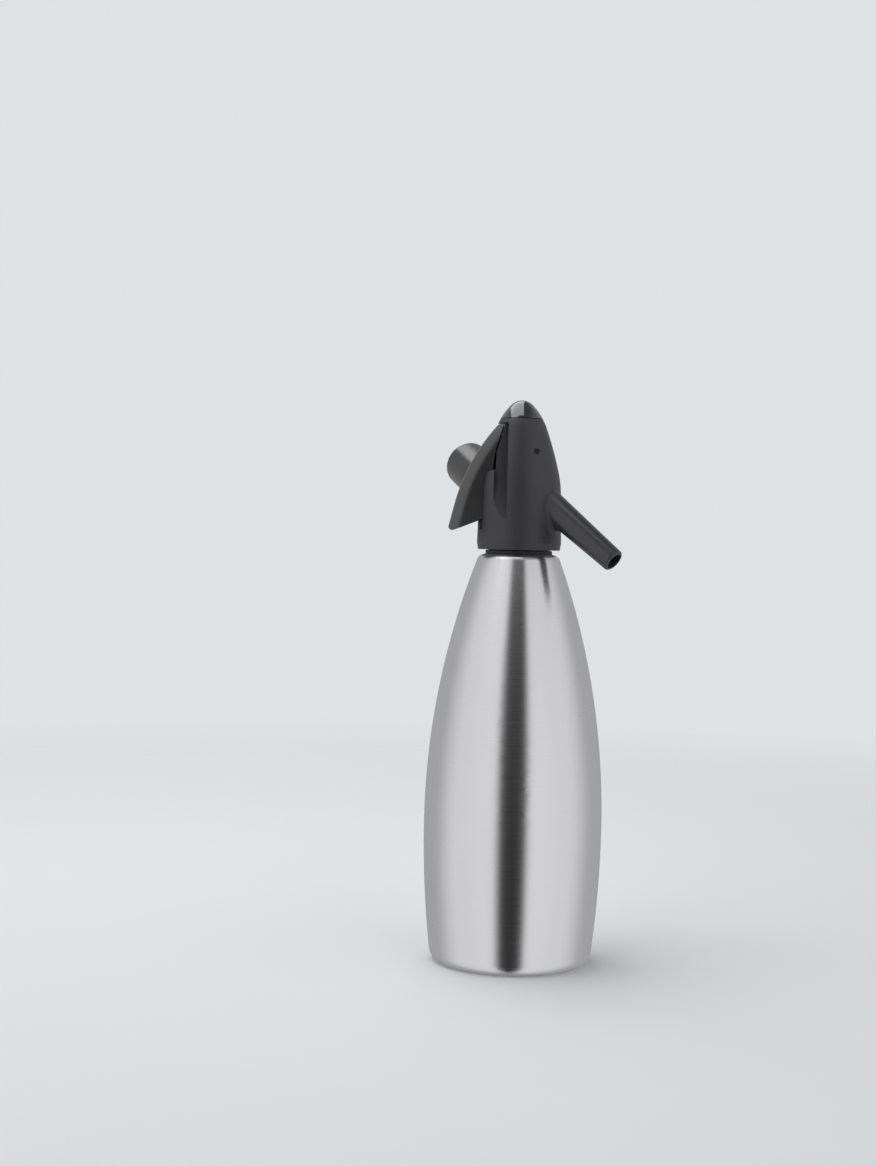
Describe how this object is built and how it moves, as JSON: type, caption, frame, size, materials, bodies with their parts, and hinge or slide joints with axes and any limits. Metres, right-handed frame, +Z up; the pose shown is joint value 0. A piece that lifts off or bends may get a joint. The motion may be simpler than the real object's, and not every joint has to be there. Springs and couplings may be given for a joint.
{
  "type": "soda siphon",
  "caption": "Soda siphon with a slender brushed-steel bottle, a dark bullet-shaped head, a squeeze lever, a slanting spout and a gas-charger holder.",
  "frame": {"origin": "centre of the ring that the bottle stands on", "axes": "+Z up along the bottle's axis; the lever points to -X, the spout to +X and -Y, the charger holder to -X and +Y"},
  "size_m": [0.1061, 0.1259, 0.3157],
  "materials": {
    "bottle_steel": "satin",
    "head_plastic": "satin, slightly grained",
    "cap_plastic": "gloss",
    "white_plastic": "satin",
    "black_rubber": "matt",
    "bright_steel": "bright drawn",
    "cast_alloy": "machined",
    "valve_brass": "machined",
    "spring_steel": "drawn wire"
  },
  "bodies": {
    "bottle": {"bottle_shell": "bottle_steel", "bottle_base": "bottle_steel", "neck_ring": "bright_steel", "buffer_ring": "black_rubber"},
    "measuring_tube": {"measuring_tube": "white_plastic"},
    "riser": {"riser_collar": "white_plastic", "riser_tube": "bright_steel", "riser_tube_gasket": "black_rubber"},
    "gasket": {"head_gasket": "black_rubber"},
    "head": {"head_shell": "head_plastic", "top_cap": "cap_plastic", "retaining_ring": "spring_steel", "valve_block": "cast_alloy", "valve_seat": "valve_brass", "port_sleeve": "white_plastic", "stem_seal": "black_rubber", "gland_nut": "valve_brass", "valve_spring": "spring_steel", "relief_cap": "valve_brass", "relief_spring": "spring_steel", "spout_tube": "bright_steel", "spout_seal": "black_rubber", "lever_pin": "bright_steel", "charger_adaptor": "valve_brass", "piercing_needle": "bright_steel", "charger_seal": "black_rubber"},
    "valve_stem": {"valve_stem": "bright_steel", "valve_washer": "black_rubber", "stem_cap": "white_plastic"},
    "relief_plunger": {"relief_plunger": "valve_brass"},
    "lever": {"lever": "head_plastic"},
    "charger": {"co2_charger": "bright_steel"},
    "cushion": {"holder_cushion": "black_rubber"},
    "holder": {"charger_holder": "head_plastic", "holder_insert": "valve_brass"}
  },
  "joints": [
    {"name": "measuring_tube_lift", "type": "slide", "parent": "bottle", "child": "measuring_tube", "axis": [0, 0, 1], "range_m": [0, 0.07]},
    {"name": "riser_lift", "type": "slide", "parent": "measuring_tube", "child": "riser", "axis": [0, 0, 1], "range_m": [0, 0.238]},
    {"name": "head_rise", "type": "slide", "parent": "riser", "child": "gasket", "axis": [0, 0, 1], "range_m": [0, 0.0091]},
    {"name": "head_turn", "type": "hinge", "parent": "gasket", "child": "head", "pos_m": [0, 0, 0.24], "axis": [0, 0, 1], "range_deg": [0, 1080]},
    {"name": "lever_press", "type": "hinge", "parent": "head", "child": "lever", "pos_m": [0.00867, 0, 0.2865], "axis": [0, -1, 0], "range_deg": [0, 6], "stiffness_Nm_per_rad": 2, "springref_deg": -5.73},
    {"name": "valve_push", "type": "slide", "parent": "head", "child": "valve_stem", "axis": [0, 0, -1], "range_m": [0, 0.00095], "deforming": ["valve_spring"]},
    {"name": "relief_lift", "type": "slide", "parent": "head", "child": "relief_plunger", "axis": [0, 0, 1], "range_m": [0, 0.001], "stiffness_N_per_m": 1500, "springref_m": -0.003, "deforming": ["relief_spring"]},
    {"name": "charger_pull", "type": "slide", "parent": "head", "child": "charger", "axis": [-0.3918, 0.8403, 0.3746], "range_m": [0, 0.075]},
    {"name": "holder_back", "type": "slide", "parent": "charger", "child": "cushion", "axis": [-0.3918, 0.8403, 0.3746], "range_m": [0, 0.0091]},
    {"name": "holder_turn", "type": "hinge", "parent": "cushion", "child": "holder", "pos_m": [0, 0, 0.2518], "axis": [-0.3918, 0.8403, 0.3746], "range_deg": [0, 1440]}
  ],
  "couplings": [
    {"joint": "head_rise", "follows": "head_turn", "m_per_rad": 0.00047746},
    {"joint": "valve_push", "follows": "lever_press", "m_per_rad": 0.00867},
    {"joint": "holder_back", "follows": "holder_turn", "m_per_rad": 0.0003581}
  ]
}
